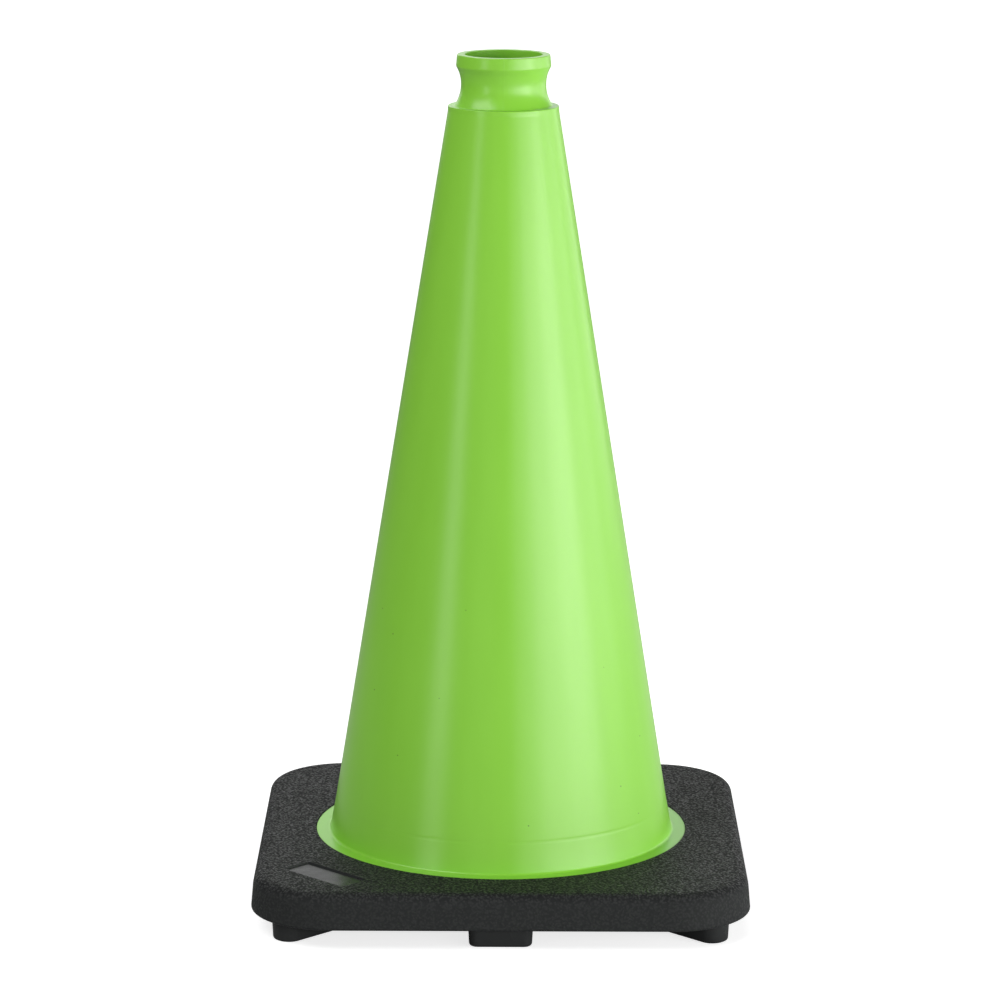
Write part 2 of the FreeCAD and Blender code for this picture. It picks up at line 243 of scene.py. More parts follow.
def neck_rings():
    """Rings down the hollow of the neck, on the arc that is NECK_WAIST_DEPTH deep at its middle."""
    start = Vector((NECK_TOP_RADIUS, NECK_TOP_Z))
    end = Vector((NECK_FOOT_RADIUS, SHOULDER_Z))
    chord = end - start
    outwards = Vector((-chord.y, chord.x)).normalized()
    arc_radius = chord.length ** 2 / (8 * NECK_WAIST_DEPTH) + NECK_WAIST_DEPTH / 2
    centre = (start + end) / 2 + outwards * (arc_radius - NECK_WAIST_DEPTH)
    half_turn = math.asin(chord.length / 2 / arc_radius)
    rings = []
    for k in range(1, NECK_STEPS):
        turn = half_turn * (2 * k / NECK_STEPS - 1)
        along = chord.normalized() * math.sin(turn) - outwards * math.cos(turn)
        rings.append(tuple(centre + along * arc_radius))
    return rings


collar = [(BORE_RADIUS, BORE_FOOT_Z), (BORE_RADIUS, TOP_Z), (RIM_TOP_RADIUS, TOP_Z),
          (RIM_RADIUS, RIM_FOOT_Z), (NECK_TOP_RADIUS, NECK_TOP_Z), *neck_rings(),
          (NECK_FOOT_RADIUS, SHOULDER_Z), (SHOULDER_RADIUS, SHOULDER_Z)]
outside = [(SHOULDER_RADIUS, TAPER_TOP_Z), (SKIRT_RADIUS, SKIRT_Z), (FOOT_RADIUS, FLANGE_TOP_Z)]
flange = [(RING_RADIUS, FLANGE_TOP_Z), (RING_RADIUS, ANCHOR_TOP_Z), (ANCHOR_RADIUS, ANCHOR_TOP_Z),
          (ANCHOR_RADIUS, ANCHOR_UNDER_Z), (STEP_RADIUS, ANCHOR_UNDER_Z), (STEP_RADIUS, FLANGE_UNDER_Z)]
inside = [(INNER_FOOT_RADIUS, FLANGE_UNDER_Z), (SKIRT_RADIUS - WALL, SKIRT_Z), (CEILING_RADIUS, CEILING_Z)]
print("the shell's section has", len(collar + outside + flange + inside), "rings")

# %% Turn the shell and round its edges
shell = turned("cone_shell", collar + outside + flange + inside)
# Each row is the radius and height of a ring, and the width of its bevel.
soft_rings = (
    (BORE_RADIUS, TOP_Z, 0.5 * MM),
    (RIM_TOP_RADIUS, TOP_Z, 0.5 * MM),
    (RIM_RADIUS, RIM_FOOT_Z, 0.5 * MM),
    (NECK_TOP_RADIUS, NECK_TOP_Z, 0.5 * MM),
    (NECK_FOOT_RADIUS, SHOULDER_Z, 0.4 * MM),
    (SHOULDER_RADIUS, SHOULDER_Z, 0.45 * MM),
    (SHOULDER_RADIUS, TAPER_TOP_Z, 0.8 * MM),
    (FOOT_RADIUS, FLANGE_TOP_Z, 1.2 * MM),
    (RING_RADIUS, FLANGE_TOP_Z, 0.4 * MM),
    (CEILING_RADIUS, CEILING_Z, 1.0 * MM),
    (INNER_FOOT_RADIUS, FLANGE_UNDER_Z, 0.5 * MM),
)
for radius, height, width in soft_rings:
    round_ring(shell, radius, height, width)
print("shell:", triangles(shell), "triangles")

# %% [markdown]
# The flange ends in a rim that the base's plastic flows through, so it has a ring of holes. One
# cutter is added and copied round, and a boolean takes them all out at once.

# %% The holes of the anchor rim
ANCHOR_HOLES = 12
ANCHOR_HOLE_RADIUS = 3.0 * MM
ANCHOR_HOLE_STEPS = 24
ANCHOR_HOLE_PLACE = (RING_RADIUS + ANCHOR_RADIUS) / 2
CUTTER_MARGIN = 1.0 * MM


def anchor_pegs(name, low, high):
    """A ring of pegs through the anchor rim's holes, as one object."""
    deselect_all()
    for k in range(ANCHOR_HOLES):
        turn = 2 * math.pi * k / ANCHOR_HOLES
        across, along = ANCHOR_HOLE_PLACE * math.cos(turn), ANCHOR_HOLE_PLACE * math.sin(turn)
        bpy.ops.mesh.primitive_cylinder_add(
            vertices=ANCHOR_HOLE_STEPS, radius=ANCHOR_HOLE_RADIUS, depth=high - low,
            location=(across, along, (low + high) / 2))
        bpy.context.object["peg"] = True
    for item in bpy.data.objects:
        if item.get("peg"):
            item.select_set(True)
            del item["peg"]
    bpy.ops.object.join()
    pegs = start_piece(name)
    bpy.ops.object.mode_set(mode="OBJECT")
    return pegs


def cut_away(piece, cutter):
    """Takes the cutter's space out of the piece, and throws the cutter away."""
    apply_modifier(piece, "BOOLEAN", operation="DIFFERENCE", solver="EXACT", object=cutter)
    bpy.data.objects.remove(cutter, do_unlink=True)


hole_cutter = anchor_pegs("anchor_holes", ANCHOR_UNDER_Z - CUTTER_MARGIN, ANCHOR_TOP_Z + CUTTER_MARGIN)
cut_away(shell, hole_cutter)
print("shell with holes:", triangles(shell), "triangles")

# %% [markdown]
# ## The black slab
# The slab is a square plate with large round corners. It starts as a flat square whose corners are
# bevelled. An inset with a depth raises it and draws it in at once, which is what a mould's draft does
# to a part. Then its open side is filled, and the bevel tool rounds the edges.

# %% Helpers for drafted blocks
def drafted_block(name, centre, size, corner, steps, corner_steps):
    """A block with round corners. Each step draws its outline in by a width, and lifts it by a height."""
    deselect_all()
    bpy.ops.mesh.primitive_plane_add(size=1, location=centre)
    bpy.context.object.scale = (*size, 1)
    block = start_piece(name)
    bpy.ops.mesh.select_all(action="SELECT")
    bpy.ops.mesh.bevel(offset=corner, segments=corner_steps, affect="VERTICES")
    bpy.ops.mesh.select_mode(type="FACE")
    bpy.ops.mesh.select_all(action="SELECT")
    for width, height in steps:
        bpy.ops.mesh.inset(thickness=width, depth=height, use_even_offset=True)
    bpy.ops.mesh.select_all(action="SELECT")
    bpy.ops.mesh.region_to_loop()
    bpy.ops.mesh.edge_face_add()
    bpy.ops.mesh.select_all(action="SELECT")
    bpy.ops.mesh.normals_make_consistent(inside=False)
    bpy.ops.object.mode_set(mode="OBJECT")
    return block


def round_level(piece, height, radius, angle, segments):
    """Rounds every edge at one height, between faces that meet at an angle."""
    found = select_edges(piece, lambda *ends: all(abs(p.z - height) < SAME_PLACE for p in ends))
    bpy.ops.mesh.bevel(offset=radius / math.tan(angle / 2), segments=segments, profile=0.5)
    bpy.ops.object.mode_set(mode="OBJECT")
    print("rounded", found, "edges of", piece.name, "at height", round(height / MM, 1), "mm")


# %% The slab
QUARTER = math.pi / 2
SLAB_CORNER_STEPS = 24
TOP_EDGE_STEPS = 10
BOTTOM_EDGE_STEPS = 4
slab_steps = [(SLAB_HEIGHT * math.tan(SLAB_DRAFT), SLAB_HEIGHT)]
slab = drafted_block("base_moulding", (0, 0, SLAB_BOTTOM_Z), (SLAB_WIDTH, SLAB_WIDTH),
                     SLAB_CORNER, slab_steps, SLAB_CORNER_STEPS)
round_level(slab, BASE_TOP_Z, TOP_EDGE_RADIUS, QUARTER + SLAB_DRAFT, TOP_EDGE_STEPS)
round_level(slab, SLAB_BOTTOM_Z, BOTTOM_EDGE_RADIUS, QUARTER - SLAB_DRAFT, BOTTOM_EDGE_STEPS)
print("slab:", triangles(slab), "triangles")

# %% [markdown]
# The hole through the slab is turned. Its section carries on the inside of the cone, so that the next
# cone of a stack slides through, and it steps out where the flange and the anchor rim sit.

# %% The hole for the shell
HOLE_BOTTOM_RADIUS = INNER_FOOT_RADIUS + SKIRT_TAPER * (FLANGE_UNDER_Z - SLAB_BOTTOM_Z)
HOLE_EDGE = 0.5 * MM
hole_section = [
    (HOLE_BOTTOM_RADIUS + HOLE_LEAD_IN + CUTTER_MARGIN, SLAB_BOTTOM_Z - CUTTER_MARGIN),
    (HOLE_BOTTOM_RADIUS, SLAB_BOTTOM_Z + HOLE_LEAD_IN),
    (INNER_FOOT_RADIUS, FLANGE_UNDER_Z),
    (STEP_RADIUS, FLANGE_UNDER_Z),
    (STEP_RADIUS, ANCHOR_UNDER_Z),
    (ANCHOR_RADIUS, ANCHOR_UNDER_Z),
    (ANCHOR_RADIUS, ANCHOR_TOP_Z),
    (RING_RADIUS, ANCHOR_TOP_Z),
    (RING_RADIUS, FLANGE_TOP_Z),
    (RING_RADIUS + HOLE_EDGE, BASE_TOP_Z),
    (RING_RADIUS + HOLE_EDGE, BASE_TOP_Z + CUTTER_MARGIN),
]
hole_cutter = turned("hole_cutter", hole_section, closed=False)
cut_away(slab, hole_cutter)
print("slab with its hole:", triangles(slab), "triangles")

# %% [markdown]
# A shallow rectangle across the front left corner takes a label. Its floor is smooth, while the slab
# round it has a leather grain. A small block cuts it, with sloping sides, turned to lie across the
# diagonal.

# %% The label recess
LABEL_LENGTH = 46.6 * MM
LABEL_WIDTH = 18.5 * MM
LABEL_DEPTH = 0.9 * MM
LABEL_CORNER = 1.2 * MM
LABEL_CORNER_STEPS = 4
LABEL_FROM_CORNER = 28.7 * MM
SLAB_DIAGONAL = (SLAB_WIDTH / 2 - SLAB_CORNER) * math.sqrt(2) + SLAB_CORNER
LABEL_PLACE = SLAB_DIAGONAL - LABEL_FROM_CORNER - LABEL_WIDTH / 2
FRONT_LEFT = math.radians(225)
FRONT_RIGHT = math.radians(315)


def turn_about_axis(piece, angle):
    """Turns a finished mesh round the Z axis of the frame."""
    piece.data.transform(Matrix.Rotation(angle, 4, "Z"))
    piece.data.update()


label_steps = [(LABEL_DEPTH / 2, -2 * LABEL_DEPTH)]
label_cutter = drafted_block("label_cutter", (LABEL_PLACE, 0, BASE_TOP_Z + LABEL_DEPTH),
                             (LABEL_WIDTH, LABEL_LENGTH), LABEL_CORNER, label_steps,
                             LABEL_CORNER_STEPS)
turn_about_axis(label_cutter, FRONT_LEFT)
cut_away(slab, label_cutter)
print("slab with its recess:", triangles(slab), "triangles")

# %% [markdown]
# ## The feet
# Eight feet belong to the same moulding: a block under the middle of each side, and a bar with round
# ends along each diagonal. A foot flares where it meets the slab, so its outline starts wide and comes
# in along a quarter circle before the draft takes it down to the ground. Each kind is modelled once
# and copied round.

# %% Helper for one foot
FOOT_ROOT = 1.2 * MM
ROOT_STEPS = 5
FOOT_EDGE_RADIUS = 1.6 * MM
FOOT_EDGE_STEPS = 5
FEET_FROM_HOLE = 7.0 * MM
FEET_INNER_END = HOLE_BOTTOM_RADIUS + HOLE_LEAD_IN + FEET_FROM_HOLE
BURIED = 0.5 * MM
CREASE = 0.01 * MM
SIDES = 4


def foot_steps():
    """The steps from inside the slab, round the root and down to the ground."""
    turns = [QUARTER * k / ROOT_STEPS for k in range(ROOT_STEPS + 1)]
    root = [(FOOT_ROOT * (math.sin(after) - math.sin(before)),
             FOOT_ROOT * (math.cos(after) - math.cos(before)))
            for before, after in zip(turns, turns[1:])]
    side = SLAB_BOTTOM_Z - FOOT_ROOT
    return [(CREASE, -BURIED), *root, (side * math.tan(FOOT_DRAFT), -side)]


def foot(name, near, far, width, corner, corner_steps):
    """One foot that runs from near to far along +X."""
    size = (far - near + 2 * FOOT_ROOT, width + 2 * FOOT_ROOT)
    middle = ((near + far) / 2, 0, SLAB_BOTTOM_Z + BURIED)
    piece = drafted_block(name, middle, size, corner + FOOT_ROOT, foot_steps(), corner_steps)
    round_level(piece, 0, FOOT_EDGE_RADIUS, QUARTER + FOOT_DRAFT, FOOT_EDGE_STEPS)
    return piece


def copies_round(piece, first_turn):
    """One copy of a foot for each side or corner of the slab, each with its own mesh."""
    made = []
    for k in range(SIDES):
        copy = piece.copy()
        copy.data = piece.data.copy()
        bpy.context.collection.objects.link(copy)
        turn_about_axis(copy, first_turn + k * QUARTER)
        made.append(copy)
    bpy.data.objects.remove(piece, do_unlink=True)
    return made


# %% The feet, and the pegs of plastic that fill the shell's anchor holes
SIDE_FOOT_WIDTH = 34.2 * MM
SIDE_FOOT_CORNER = 5.0 * MM
SIDE_FOOT_CORNER_STEPS = 6
SIDE_FOOT_INSET = 5.2 * MM
SIDE_FOOT_END = SLAB_WIDTH / 2 - SIDE_FOOT_INSET
CORNER_FOOT_WIDTH = 17.8 * MM
CORNER_FOOT_CORNER_STEPS = 12
CORNER_FOOT_INSET = 3.4 * MM
CORNER_FOOT_END = SLAB_DIAGONAL - CORNER_FOOT_INSET
NEARLY_HALF = 0.47

side_foot = foot("side_foot", FEET_INNER_END, SIDE_FOOT_END, SIDE_FOOT_WIDTH,
                 SIDE_FOOT_CORNER, SIDE_FOOT_CORNER_STEPS)
corner_foot = foot("corner_foot", FEET_INNER_END, CORNER_FOOT_END, CORNER_FOOT_WIDTH,
                   CORNER_FOOT_WIDTH * NEARLY_HALF, CORNER_FOOT_CORNER_STEPS)
feet = copies_round(side_foot, -QUARTER) + copies_round(corner_foot, FRONT_RIGHT)
pegs = anchor_pegs("anchor_pegs", ANCHOR_UNDER_Z, ANCHOR_TOP_Z)

deselect_all()
for part in [*feet, pegs, slab]:
    part.select_set(True)
bpy.context.view_layer.objects.active = slab
bpy.ops.object.join()
print("base with", len(feet), "feet:", triangles(slab), "triangles")

# %% [markdown]
# ## Smooth faces
# Round faces should shade smoothly and flat faces should stay flat. Smoothing by angle keeps the
# sharp steps, and the weighted normal modifier gives each edge round the normals of the large faces
# beside it.

# %% Shade both pieces
SMOOTH_ANGLE = math.radians(35)


def shade(piece, angle):
    """Smooths the faces that meet at less than the angle, and keeps the large faces flat."""
    deselect_all()
    piece.select_set(True)
    bpy.context.view_layer.objects.active = piece
    bpy.ops.object.shade_smooth_by_angle(angle=angle)
    apply_modifier(piece, "WEIGHTED_NORMAL", keep_sharp=True)


for piece in (shell, slab):
    shade(piece, SMOOTH_ANGLE)
print("smoothed faces that meet at less than", round(math.degrees(SMOOTH_ANGLE)), "degrees")

# %% [markdown]
# ## Shader maths as expressions
# A finish needs masks and patterns, which are sums and products of numbers. Wire wraps one output of
# a node, and its operators add Math nodes, so a mask can be written as an expression. Finish holds one
# material, and its node method adds any other node.

# %% Wire and Finish
class Wire:
    """One output socket. Arithmetic on it adds Math nodes to its material."""

    def __init__(self, finish, socket):
        self.finish = finish
        self.socket = socket

    def also(self, name):
        """Another output of the same node."""
        return Wire(self.finish, self.socket.node.outputs[name])

    def maths(self, operation, first, second=0.0):
        """One Math node on two values, either of which may be a plain number."""
        inputs = {0: first, 1: second}
        return self.finish.node("ShaderNodeMath", {"operation": operation}, inputs, "Value")

    def __add__(self, other):
        return self.maths("ADD", self, other)

    def __sub__(self, other):
        return self.maths("SUBTRACT", self, other)

    def __rsub__(self, other):
        return self.maths("SUBTRACT", other, self)

    def __mul__(self, other):
        return self.maths("MULTIPLY", self, other)

    def __abs__(self):
        return self.maths("ABSOLUTE", self)

    __radd__ = __add__
    __rmul__ = __mul__

    def above(self, limit, softness):
        """1 where the value is above the limit, 0 below, with a soft step between."""
        inputs = {"Value": self, "From Min": limit - softness, "From Max": limit + softness}
        settings = {"interpolation_type": "SMOOTHSTEP"}
        return self.finish.node("ShaderNodeMapRange", settings, inputs, "Result")

    def below(self, limit, softness):
        """1 where the value is below the limit, and 0 above."""
        return 1 - self.above(limit, softness)

    def between(self, low, high):
        """The value, stretched from 0..1 to low..high."""
        return self * (high - low) + low


class Finish:
    """The nodes of one material, or of the world, and its shader."""

    def __init__(self, owner, shader="Principled BSDF"):
        self.owner = owner
        self.owner.use_nodes = True
        self.tree = self.owner.node_tree
        self.shader = self.tree.nodes[shader]
        self.place = self.node("ShaderNodeTexCoord", {}, {}, "Object")

    def node(self, kind, settings, inputs, output):
        """Adds a node, with its settings first and then its sockets, and gives one of its outputs."""
        node = self.tree.nodes.new(kind)
        for name, value in settings.items():
            setattr(node, name, value)
        for name, value in inputs.items():
            self.feed(node.inputs[name], value)
        return Wire(self, node.outputs[output])

    def feed(self, socket, value):
        """Links a wire to a socket, or sets the socket to a number, colour or vector."""
        if isinstance(value, Wire):
            self.tree.links.new(value.socket, socket)
        elif isinstance(value, tuple) and len(value) == 3 and socket.type == "RGBA":
            socket.default_value = (*value, 1)
        else:
            socket.default_value = value

    def set(self, **sockets):
        """Sets or links sockets of the shader. An underscore in a name stands for a space."""
        for name, value in sockets.items():
            self.feed(self.shader.inputs[name.replace("_", " ")], value)

    def noise(self, place, scale, detail=2.0, roughness=0.5, output="Fac"):
        """Cloudy noise, as a height of 0..1 or as a colour."""
        inputs = {"Vector": place, "Scale": scale, "Detail": detail, "Roughness": roughness}
        return self.node("ShaderNodeTexNoise", {}, inputs, output)

    def cells(self, place, scale, feature="F1"):
        """How far each place is from the middle of its cell."""
        inputs = {"Vector": place, "Scale": scale}
        return self.node("ShaderNodeTexVoronoi", {"feature": feature}, inputs, "Distance")

    def axes(self, place):
        """The X, Y and Z of a place."""
        first = self.node("ShaderNodeSeparateXYZ", {}, {"Vector": place}, "X")
        return first, first.also("Y"), first.also("Z")

    def stretched(self, scale):
        """The place on the piece, scaled along each axis."""
        return self.node("ShaderNodeMapping", {}, {"Vector": self.place, "Scale": scale}, "Vector")

    def mix(self, factor, first, second):
        """The first colour where the factor is 0, and the second where it is 1."""
        return self.node("ShaderNodeMix", {"data_type": "RGBA"}, {0: factor, 6: first, 7: second}, 2)

    def bump(self, height, distance, below=None):
        """Turns a height of 0..1 into dents and bumps of a distance, on top of another bump."""
        inputs = {"Height": height, "Distance": distance, "Strength": 1.0}
        if below:
            inputs["Normal"] = below
        return self.node("ShaderNodeBump", {}, inputs, "Normal")

    def put_on(self, piece):
        """Makes this the one material of a piece."""
        piece.data.materials.clear()
        piece.data.materials.append(self.owner)

# %% [markdown]
# ## The finish of the green plastic
# The real shell is lime PVC straight from a polished mould. It is glossy, but a soft thin wall cools
# unevenly, so its reflections waver, and faint flow marks run up from the flange. A few dark specks
# come with the pigment. The mould's halves leave a thin line on the neck.

# %% The colour of the green PVC
GREEN = (0.272, 0.665, 0.056)
GREEN_DEEP = (0.261, 0.648, 0.051)
GREEN_PALE = (0.287, 0.680, 0.065)
SPECK = (0.060, 0.130, 0.020)
FLOW_STRETCH = (60, 60, 5)
FLOW_LEVEL, FLOW_SOFTNESS = 0.5, 0.2
BLOOM_SCALE = 14.0
BLOOM_LEVEL, BLOOM_SOFTNESS = 0.58, 0.2
BLOOM_AMOUNT = 0.25
SPECK_CELLS = 55.0
SPECK_RADIUS = 0.022
SPECK_SOFTNESS = 0.006
SPECK_AMOUNT = 0.8


def green_colour(pvc):
    """Flow marks that run up the wall, pale blooms, and a few specks."""
    flow = pvc.noise(pvc.stretched(FLOW_STRETCH), 1.0, detail=4)
    colour = pvc.mix(flow.above(FLOW_LEVEL, FLOW_SOFTNESS), GREEN_DEEP, GREEN)
    bloom = pvc.noise(pvc.place, BLOOM_SCALE, detail=3)
    blooms = bloom.above(BLOOM_LEVEL, BLOOM_SOFTNESS) * BLOOM_AMOUNT
    colour = pvc.mix(blooms, colour, GREEN_PALE)
    specks = pvc.cells(pvc.place, SPECK_CELLS).below(SPECK_RADIUS, SPECK_SOFTNESS)
    return pvc.mix(specks * SPECK_AMOUNT, colour, SPECK)


# %% The relief of the green PVC
WAVER_STRETCH = (16, 16, 7)
WAVER_DEPTH = 0.35 * MM
PEEL_SCALE = 900.0
PEEL_DEPTH = 0.006 * MM
SINK_WIDTH = 0.8 * MM
SINK_SOFTNESS = 0.5 * MM
SINK_DEPTH = 0.04 * MM
PARTING_WIDTH = 0.15 * MM
PARTING_HEIGHT = 0.06 * MM


def green_relief(pvc):
    """Wavering, fine orange peel, a sink line at the skirt, and the parting line of the neck."""
    waver = pvc.noise(pvc.stretched(WAVER_STRETCH), 1.0)
    normal = pvc.bump(waver, WAVER_DEPTH)
    peel = pvc.noise(pvc.place, PEEL_SCALE)
    normal = pvc.bump(peel, PEEL_DEPTH, below=normal)
    across, _, up = pvc.axes(pvc.place)
    sink = abs(up - SKIRT_Z).below(SINK_WIDTH, SINK_SOFTNESS)
    normal = pvc.bump(1 - sink, SINK_DEPTH, below=normal)
    on_collar = up.above(SHOULDER_Z - SHOULDER_LAND, 1 * MM)
    line = abs(across).below(PARTING_WIDTH, PARTING_WIDTH) * on_collar
    return pvc.bump(line, PARTING_HEIGHT, below=normal)


# %% Put the green PVC on the shell
SMUDGE_SCALE = 22.0
GLOSSIEST, DULLEST = 0.265, 0.30
pvc = Finish(bpy.data.materials.new("green_pvc"))
smudge = pvc.noise(pvc.place, SMUDGE_SCALE, detail=3)
pvc.set(Base_Color=green_colour(pvc), Normal=green_relief(pvc))
pvc.set(Roughness=smudge.between(GLOSSIEST, DULLEST), IOR=1.48)
pvc.put_on(shell)
print("green PVC has", len(pvc.tree.nodes), "nodes")

# %% [markdown]
# ## The finish of the black plastic
# The base is recycled PVC, grey black, with a leather grain etched into the mould for grip. The grain
# is deep on the top and faint on the sides, and the feet and the floor of the label recess are smooth.
# Grain is a raised net of soft cells, so it starts from Voronoi cells whose place is shaken by noise.
# Its crests are paler than its creases: the crests carry painted glints and the creases painted shade. The
# crests are also glossier, since handling polishes them, and dust dulls the plastic in soft patches.

# %% Where the grain is
MASK_EDGE = 0.2 * MM
SIDE_EDGE = 0.5 * MM
TOP_DEPTH = 3.0 * MM
TOP_SOFTNESS = 2.5 * MM


def grain_mask(pvc, up):
    """1 on the grained top and sides, and 0 on the label's floor, the underside and the feet."""
    turned_place = pvc.node("ShaderNodeVectorRotate", {"rotation_type": "Z_AXIS"},
                            {"Vector": pvc.place, "Angle": -FRONT_LEFT}, "Vector")
    outwards, sideways, _ = pvc.axes(turned_place)
    in_width = abs(outwards - LABEL_PLACE).below(LABEL_WIDTH / 2, MASK_EDGE)
    in_length = abs(sideways).below(LABEL_LENGTH / 2, MASK_EDGE)
    label = in_width * in_length * up.above(SLAB_BOTTOM_Z * 2, MASK_EDGE)
    return up.above(SLAB_BOTTOM_Z + SIDE_EDGE, SIDE_EDGE) * (1 - label)


# %% The leather grain
GRAIN_CELLS = 800.0
SHAKE_SCALE = 260.0
SHAKE = (0.0022, 0.0022, 0.0022)
FINE_SCALE = 1500.0
FINE_SHARE = 0.2


def leather(pvc):
    """The height of the grain, from 0 in its creases to 1 on its crests."""
    shake = pvc.noise(pvc.place, SHAKE_SCALE, output="Color")
    shaken = pvc.node("ShaderNodeVectorMath", {"operation": "MULTIPLY_ADD"},
                      {0: shake, 1: SHAKE, 2: pvc.place}, "Vector")
    cells = pvc.cells(shaken, GRAIN_CELLS, feature="SMOOTH_F1")
    fine = pvc.noise(pvc.place, FINE_SCALE, detail=3)
    return (1 - cells) * (1 - FINE_SHARE) + fine * FINE_SHARE


CREST_LEVEL, CREST_SOFTNESS = 0.6, 0.14
SIDE_CRESTS = 0.45
black = Finish(bpy.data.materials.new("black_pvc"))
_, _, black_up = black.axes(black.place)
grained = grain_mask(black, black_up)
on_top = black_up.above(BASE_TOP_Z - TOP_DEPTH, TOP_SOFTNESS)
grain = leather(black)
crests = grain.above(CREST_LEVEL, CREST_SOFTNESS) * on_top.between(SIDE_CRESTS, 1.0)
print("grain and its masks take", len(black.tree.nodes), "nodes")

# %% The colour of the black PVC
# The crease colour is painted shade, darker than the plastic, and the crest colour is a painted glint,
# paler than it.
BLACK_CREASE_SHADE = (0.0150, 0.0158, 0.0160)
BLACK_CREST_GLINT = (0.0420, 0.0436, 0.0430)
BLACK_SIDE = (0.0240, 0.0256, 0.0254)
BLACK_SMOOTH = (0.0300, 0.0316, 0.0316)
DUST_SCALE = 30.0
DUST_LEVEL, DUST_SOFTNESS = 0.5, 0.2
DUST_AMOUNT = 0.5
dust = black.noise(black.place, DUST_SCALE, detail=6, roughness=0.65)
dusty = dust.above(DUST_LEVEL, DUST_SOFTNESS) * DUST_AMOUNT
# Dust dims the painted glints on the crests in soft patches.
crest_glint_and_dust = black.mix(dusty, BLACK_CREST_GLINT, BLACK_SMOOTH)
# On the top, the grain's creases get painted shade and its crests painted glints.
top_glints_and_shade = black.mix(crests, BLACK_CREASE_SHADE, crest_glint_and_dust)
# On the sides, the crests get fainter painted glints and the creases keep the side's own colour.
side_with_glints = black.mix(crests, BLACK_SIDE, BLACK_CREST_GLINT)
# The grained colour carries the painted shade of the creases and the painted glints of the crests.
grain_glints_and_shade = black.mix(on_top, side_with_glints, top_glints_and_shade)
black.set(Base_Color=black.mix(grained, BLACK_SMOOTH, grain_glints_and_shade))
print("with its colours, the black PVC has", len(black.tree.nodes), "nodes")

# %% The gloss and relief of the black PVC
SMOOTH_ROUGHNESS = 0.26
CREASE_ROUGHNESS = 0.75
CREST_ROUGHNESS = 0.36
DUST_ROUGHNESS = 0.15
GRAIN_DEPTH = 0.75 * MM
SIDE_GRAIN = 0.4
WAVE_SCALE = 90.0
WAVE_DEPTH = 0.3 * MM
grain_roughness = crests.between(CREASE_ROUGHNESS, CREST_ROUGHNESS)
roughness = grained * (grain_roughness - SMOOTH_ROUGHNESS) + SMOOTH_ROUGHNESS
relief = black.bump(grain * grained * on_top.between(SIDE_GRAIN, 1.0), GRAIN_DEPTH)
waves = black.noise(black.place, WAVE_SCALE) * (1 - grained)
black.set(Roughness=roughness + (dust - 0.5) * DUST_ROUGHNESS)
black.set(Normal=black.bump(waves, WAVE_DEPTH, below=relief))
black.set(IOR=1.4, Specular_IOR_Level=0.15)
black.put_on(slab)
print("black PVC has", len(black.tree.nodes), "nodes")

# %% [markdown]
# ## Join the frame
# Each finished piece stands for its CAD node, which is hidden, and rides on the one body.

for piece, node, slot in ((shell, "cone_body", "cone_green"), (slab, "weighted_base", "base_black")):
    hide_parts(node)
    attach(piece, "root")

# %% [markdown]
# ## Floor, light and camera
# The floor is a wide pale table in a dark room. The camera sees a white glow on both, which keeps the
# background pale, but the glow lights nothing and doesn't show in the plastic. Under the glow the table
# is darker on the left, so the cone's left edge doesn't mirror a pale floor.

# %% Floor
FLOOR_SIZE = 14
NO_GLOW = (0.0, 0.0, 0.0)
NEAR_GLOW = (0.76, 0.76, 0.76)
FAR_GLOW = (1.0, 1.0, 1.0)
FLOOR_LEFT = (0.35, 0.35, 0.35)
FLOOR_RIGHT = (0.88, 0.88, 0.88)
GLOW_EDGE = 2.0
GLOW_SOFTNESS = 1.6
SIDE_SOFTNESS = 0.5
table = Finish(bpy.data.materials.new("pale_floor"))
from_axis = table.node("ShaderNodeVectorMath", {"operation": "LENGTH"}, {0: table.place}, "Value")
glow = table.mix(from_axis.above(GLOW_EDGE, GLOW_SOFTNESS), NEAR_GLOW, FAR_GLOW)
seen = table.node("ShaderNodeLightPath", {}, {}, "Is Camera Ray")
across, _, _ = table.axes(table.place)
table.set(Base_Color=table.mix(across.above(0.0, SIDE_SOFTNESS), FLOOR_LEFT, FLOOR_RIGHT))
table.set(Roughness=0.9, Emission_Color=table.mix(seen, NO_GLOW, glow), Emission_Strength=1.0)
deselect_all()
bpy.ops.mesh.primitive_plane_add(size=FLOOR_SIZE, location=(0, 0, 0))
floor = start_piece("floor")
bpy.ops.object.mode_set(mode="OBJECT")
table.put_on(floor)
print("floor is", FLOOR_SIZE, "m wide")

# %% [markdown]
# A glossy cone shows its lamps as upright bands. So a bank of low lamps stands round it: bright ones to
# the right make its pale side, and a narrow one makes the thin band on its left. Two high lamps light
# it from the left and from behind. Flat tops such as the base, the flange and the rim mirror what is
# behind them, and a large dim screen stands there. An area lamp is used for each, since its size sets
# how wide a band is and how soft a shadow is.

# %% Lamps
AIM = Vector((0, 0, 0.22))


def lamp(name, azimuth, elevation, distance, size, brightness):
    """A soft rectangular lamp that faces the cone. Azimuth 0 is the front, and 90 the right."""
    turn, rise = math.radians(azimuth), math.radians(elevation)
    way = Vector((math.sin(turn) * math.cos(rise), -math.cos(turn) * math.cos(rise), math.sin(rise)))
    deselect_all()
    bpy.ops.object.light_add(type="AREA", location=AIM + way * distance)
    made = bpy.context.object
    made.name = name
    made.data.shape = "RECTANGLE"
    made.data.size, made.data.size_y = size
    made.data.energy = math.pi * size[0] * size[1] * brightness
    made.rotation_euler = way.to_track_quat("Z", "Y").to_euler()
    made.visible_camera = False


BANK_ELEVATION = 5
BANK_DISTANCE = 2.5
BANK_HEIGHT = 0.85
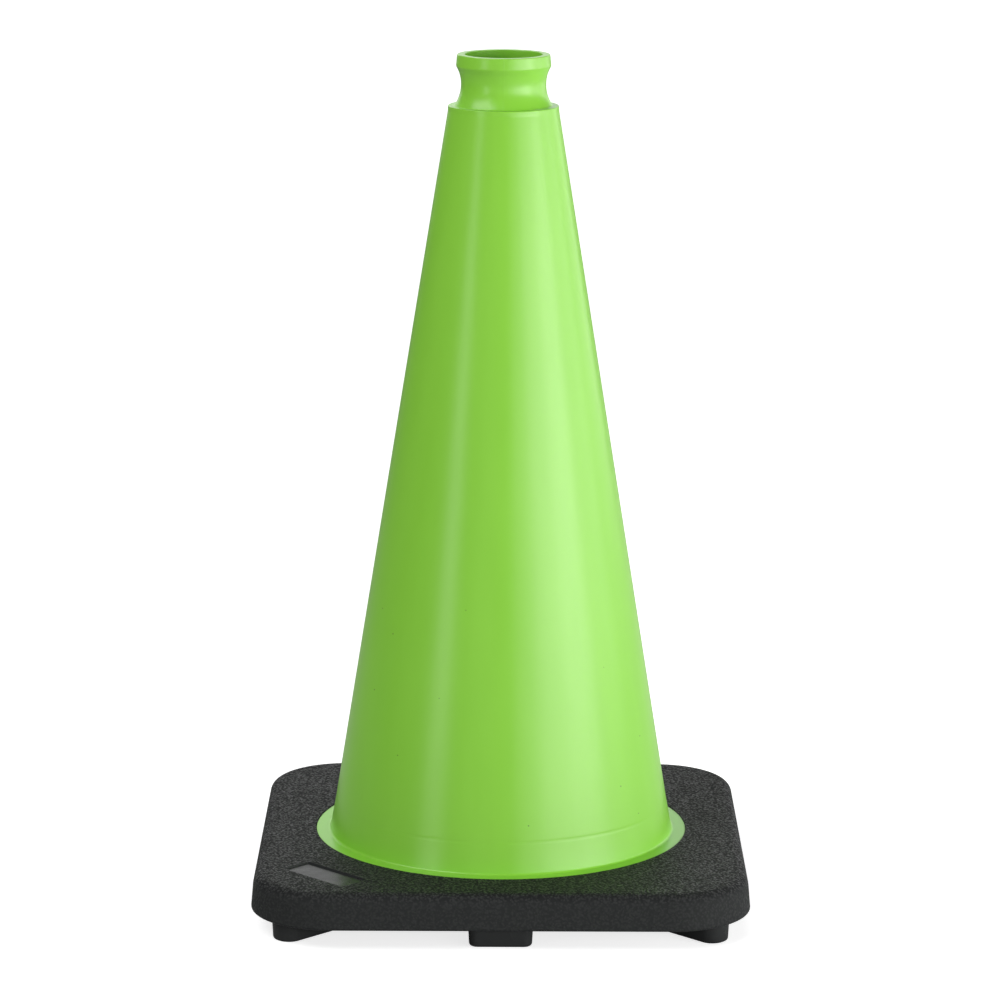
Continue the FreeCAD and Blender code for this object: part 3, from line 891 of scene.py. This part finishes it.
# Each row is the azimuth, the width in metres and the brightness of a low lamp.
bank = (
    (-47, 0.6, 3.4),
    (-14, 1.1, 0.45),
    (20, 0.75, 2.35),
    (40, 1.0, 5.7),
    (64, 1.15, 7.7),
    (92, 1.34, 3.6),
    (125, 1.6, 1.8),
)
for azimuth, width, brightness in bank:
    name = f"bank_lamp_{azimuth}"
    lamp(name, azimuth, BANK_ELEVATION, BANK_DISTANCE, (width, BANK_HEIGHT), brightness)
lamp("high_left_lamp", azimuth=-62, elevation=48, distance=1.8, size=(1.4, 1.0), brightness=4.2)
lamp("high_back_lamp", azimuth=180, elevation=55, distance=1.8, size=(1.4, 1.0), brightness=2.2)
lamp("back_screen", azimuth=180, elevation=13, distance=6.2, size=(8.0, 3.0), brightness=1.1)
print("set", len(bpy.data.lights), "lamps")

# %% The room behind the lamps
ROOM_LIGHT = 0.06
ROOM_SEEN = 1.0
studio = Finish(bpy.data.worlds.new("studio"), "Background")
bpy.context.scene.world = studio.owner
seen = studio.node("ShaderNodeLightPath", {}, {}, "Is Camera Ray")
studio.set(Color=(1.0, 1.0, 1.0), Strength=seen.between(ROOM_LIGHT, ROOM_SEEN))
print("room lights at", ROOM_LIGHT, "and is seen at", ROOM_SEEN)

# %% [markdown]
# The camera stands well back with a long lens, a little above the cone, and looks down at it by 12
# degrees. That keeps the sides of the base almost square, and shows its top as a narrow band.

# %% Camera
CAMERA_DISTANCE = 2.2947
CAMERA_HEIGHT = 0.70295
CAMERA_DOWN = 0.21
CAMERA_ROLL = math.radians(0.2)
CAMERA_PAN = math.radians(0.029)
CAMERA_LENS = 154.9
SENSOR_WIDTH = 36
deselect_all()
bpy.ops.object.camera_add(location=(0, -CAMERA_DISTANCE, CAMERA_HEIGHT))
camera = bpy.context.object
aimed = Matrix.Rotation(CAMERA_PAN, 4, "Z") @ Matrix.Rotation(QUARTER - CAMERA_DOWN, 4, "X")
camera.matrix_world = Matrix.Translation(camera.location) @ aimed @ Matrix.Rotation(CAMERA_ROLL, 4, "Z")
camera.data.lens = CAMERA_LENS
camera.data.sensor_width = SENSOR_WIDTH
bpy.context.scene.camera = camera
bpy.context.scene.view_settings.view_transform = "Standard"
print("camera stands", CAMERA_DISTANCE, "m in front and", CAMERA_HEIGHT, "m up")
